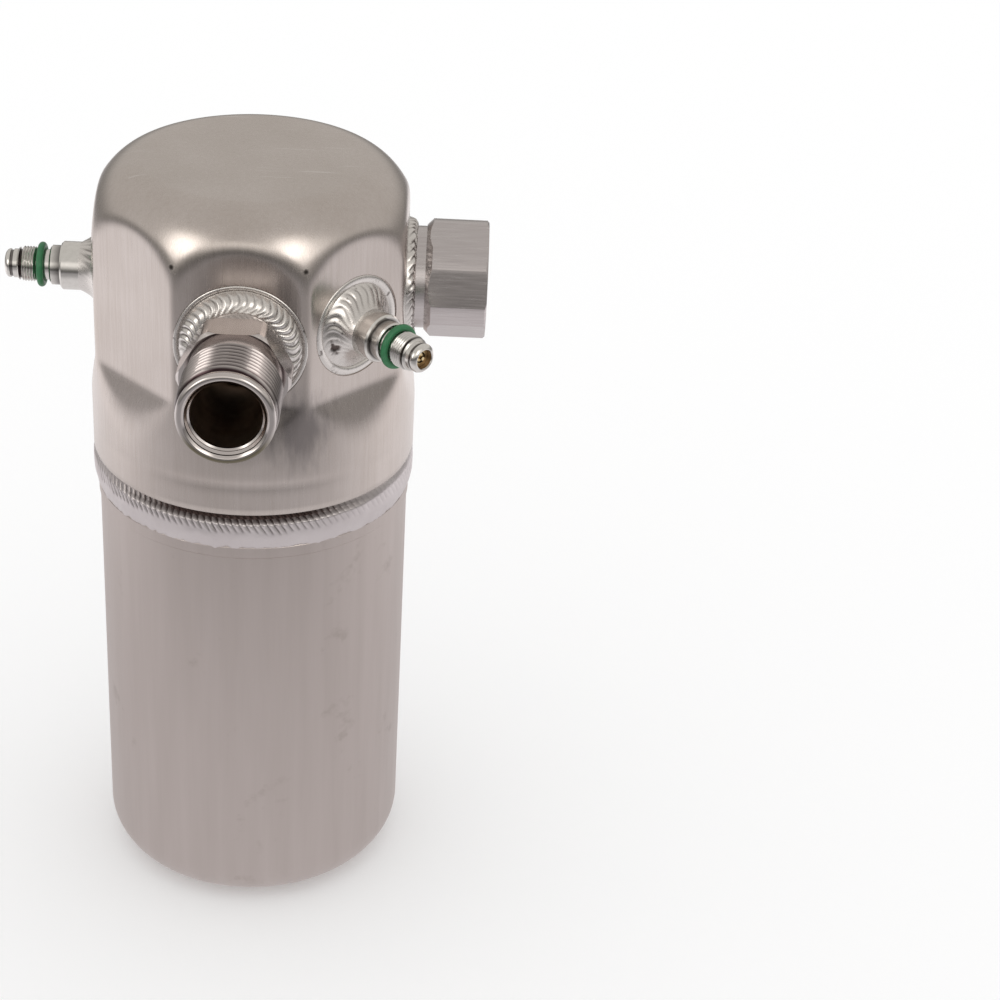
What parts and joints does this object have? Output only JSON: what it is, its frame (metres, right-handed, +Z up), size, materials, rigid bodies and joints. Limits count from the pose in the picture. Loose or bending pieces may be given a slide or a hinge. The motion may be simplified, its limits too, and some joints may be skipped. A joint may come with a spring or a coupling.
{
  "type": "receiver drier",
  "caption": "Welded aluminium receiver drier with an octagonal head, a large male threaded fitting, a hexagon boss and small service ports with valve cores.",
  "frame": {"origin": "centre of the flat base of the can", "axes": "+Z up the can's axis; -Y along the male fitting, out of its open end; +X along the hexagon boss"},
  "size_m": [0.1367, 0.1326, 0.2288],
  "materials": {
    "drawn_can": "satin drawn",
    "drawn_head": "satin drawn",
    "girth_bead": "rippled weld",
    "fitting_bead": "rippled weld",
    "turned_fitting": "bright turned",
    "milled_boss": "satin milled",
    "turned_port": "bright turned",
    "green_rubber": "smooth moulded rubber",
    "brass": "turned",
    "brass_pin": "turned",
    "white_seal": "moulded",
    "spring_steel": "drawn wire",
    "drawn_tube": "drawn",
    "black_nylon": "moulded",
    "filter_mesh": "woven",
    "felt_bag": "felt",
    "nylon_tie": "moulded",
    "pressed_plate": "pressed"
  },
  "bodies": {
    "drier": {"lower_can": "drawn_can", "upper_head": "drawn_head", "girth_weld": "girth_bead", "male_fitting": "turned_fitting", "male_fitting_weld": "fitting_bead", "hex_boss": "milled_boss", "hex_boss_weld": "fitting_bead", "front_port_body": "turned_port", "front_port_weld": "fitting_bead", "front_port_o_ring": "green_rubber", "front_valve_barrel": "brass", "front_valve_seal": "white_seal", "front_valve_spring": "spring_steel", "side_port_body": "turned_port", "side_port_weld": "fitting_bead", "side_port_o_ring": "green_rubber", "side_valve_barrel": "brass", "side_valve_seal": "white_seal", "side_valve_spring": "spring_steel", "pickup_tube": "drawn_tube", "oil_filter_cage": "black_nylon", "oil_filter_mesh": "filter_mesh", "desiccant_bag": "felt_bag", "tie_strap": "nylon_tie", "deflector_plate": "pressed_plate"},
    "front_stem": {"front_valve_stem": "brass_pin"},
    "side_stem": {"side_valve_stem": "brass_pin"}
  },
  "joints": [
    {"name": "front_stem_press", "type": "slide", "parent": "drier", "child": "front_stem", "axis": [-0.7071, 0.7071, 0], "range_m": [0, 0.0015], "stiffness_N_per_m": 1500, "springref_m": -0.002, "deforming": ["front_valve_spring"]},
    {"name": "side_stem_press", "type": "slide", "parent": "drier", "child": "side_stem", "axis": [1, 0, 0], "range_m": [0, 0.0015], "stiffness_N_per_m": 1500, "springref_m": -0.002, "deforming": ["side_valve_spring"]}
  ]
}
